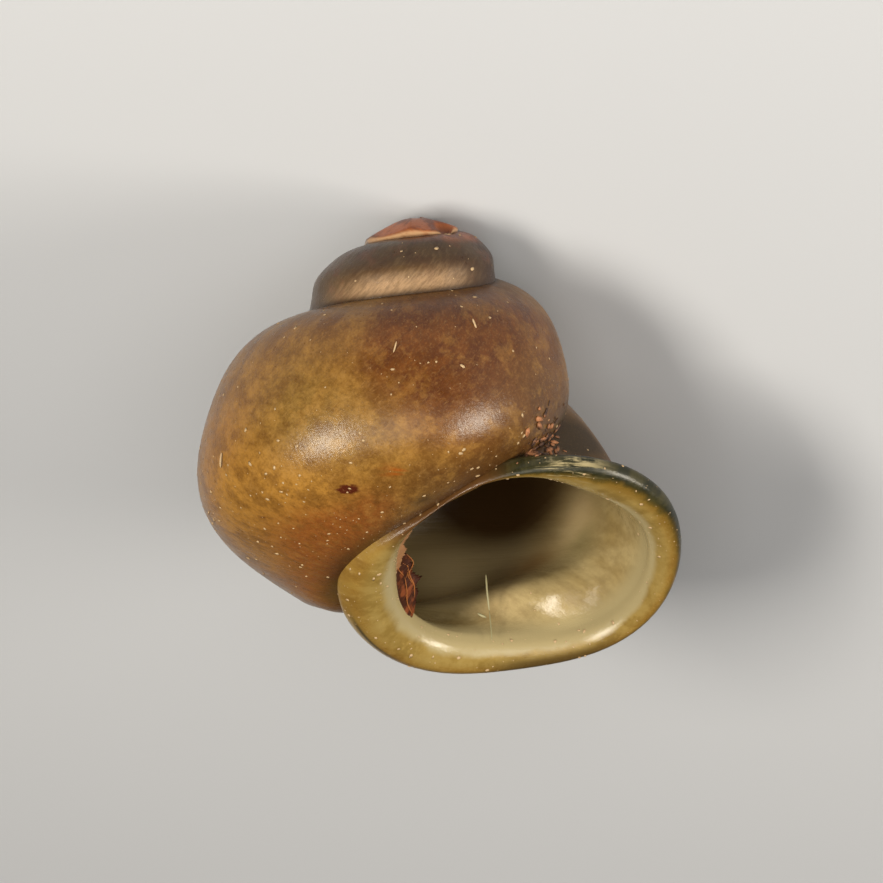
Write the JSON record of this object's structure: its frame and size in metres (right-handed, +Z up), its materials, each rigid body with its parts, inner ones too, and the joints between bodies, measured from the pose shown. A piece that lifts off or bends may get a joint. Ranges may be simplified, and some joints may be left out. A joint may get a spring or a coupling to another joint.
{
  "type": "freshwater snail shell",
  "caption": "Squat coiled freshwater snail shell with a worn spire and a round aperture in a thick turned-out lip, lying on its back with the aperture up.",
  "frame": {"origin": "centre of the bounding box's base, level with the three worn flats the shell rests on", "axes": "+Z up as the shell lies on its back, aperture up; +X along the longest extent, with the aperture on the -X side and the body whorl on the +X side; the spire's tip points down and along -Y; the picture looks along +Y from above, and is turned by half a turn so that the spire is at its top"},
  "size_m": [0.0072, 0.0066, 0.005],
  "materials": {
    "shell": "semi-gloss olive-brown"
  },
  "bodies": {
    "root": {"snail_shell": "shell"}
  },
  "joints": []
}
